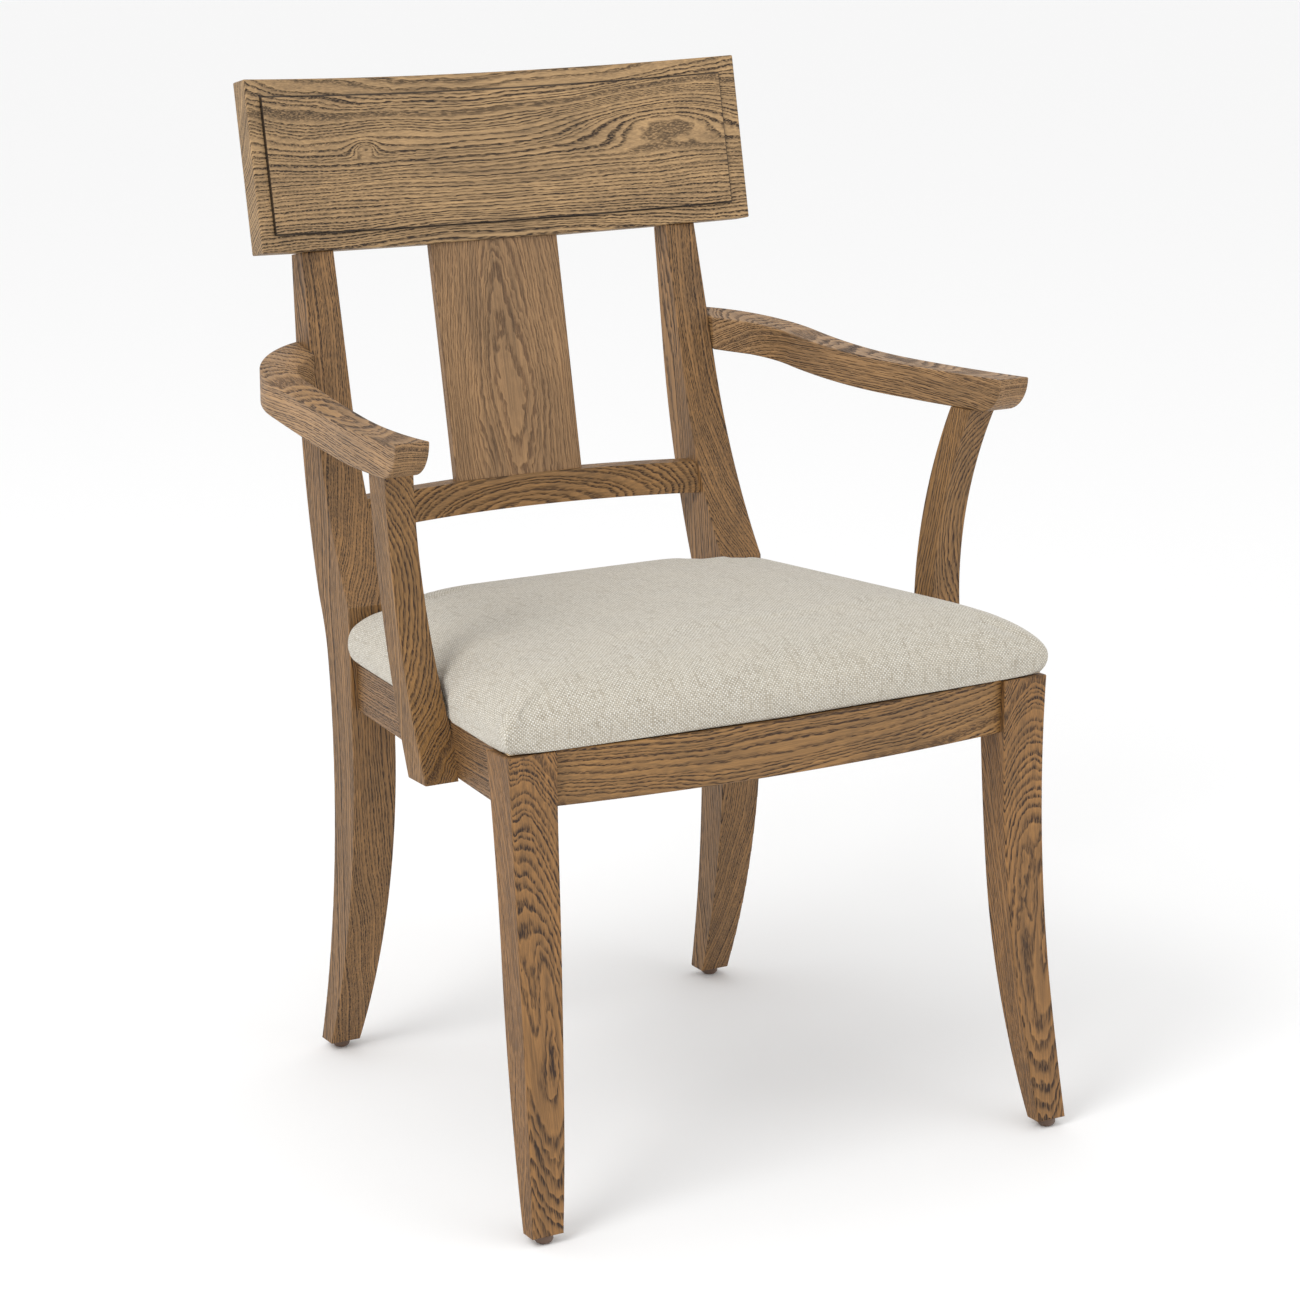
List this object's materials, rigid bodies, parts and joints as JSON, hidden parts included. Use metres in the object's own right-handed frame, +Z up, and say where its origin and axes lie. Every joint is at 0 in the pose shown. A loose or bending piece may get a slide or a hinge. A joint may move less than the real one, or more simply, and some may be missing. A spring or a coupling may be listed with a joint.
{
  "type": "open armchair",
  "caption": "Open dining armchair with sabre legs, bowed crest board, flat splat, scrolling arms on bowed supports and a padded fabric seat.",
  "frame": {"origin": "on the floor under the middle of the chair's box", "axes": "+X to the right as seen from the front, the front of the chair faces -Y, +Z up"},
  "size_m": [0.6494, 0.6404, 0.9415],
  "materials": {
    "oak": "wire-brushed solid oak with a matt mid-brown stain",
    "beech": "planed raw beech",
    "plywood": "raw birch plywood",
    "linen": "woven heathered linen-look cloth",
    "foam": "upholstery foam",
    "cambric": "black non-woven dust cloth",
    "zinc_steel": "zinc-plated steel",
    "nylon": "brown moulded nylon"
  },
  "bodies": {
    "root": {"front_leg_left": "oak", "front_leg_right": "oak", "rear_leg_left": "oak", "rear_leg_right": "oak", "crest_rail": "oak", "back_splat": "oak", "lower_back_rail": "oak", "front_seat_rail": "oak", "rear_seat_rail": "oak", "side_seat_rail_left": "oak", "side_seat_rail_right": "oak", "arm_left": "oak", "arm_right": "oak", "arm_support_left": "oak", "arm_support_right": "oak", "front_corner_block_left": "beech", "front_corner_block_right": "beech", "rear_corner_block_left": "beech", "rear_corner_block_right": "beech", "front_rail_dowels": "beech", "side_rail_dowels": "beech", "rear_rail_dowels": "beech", "arm_dowels": "beech", "seat_board": "plywood", "seat_cover": "linen", "seat_foam": "foam", "dust_cover": "cambric", "corner_block_screws": "zinc_steel", "arm_support_screws": "zinc_steel", "seat_screws": "zinc_steel", "cover_staples": "zinc_steel", "glide_nails": "zinc_steel", "front_glide_left": "nylon", "front_glide_right": "nylon", "rear_glide_left": "nylon", "rear_glide_right": "nylon"}
  },
  "joints": []
}
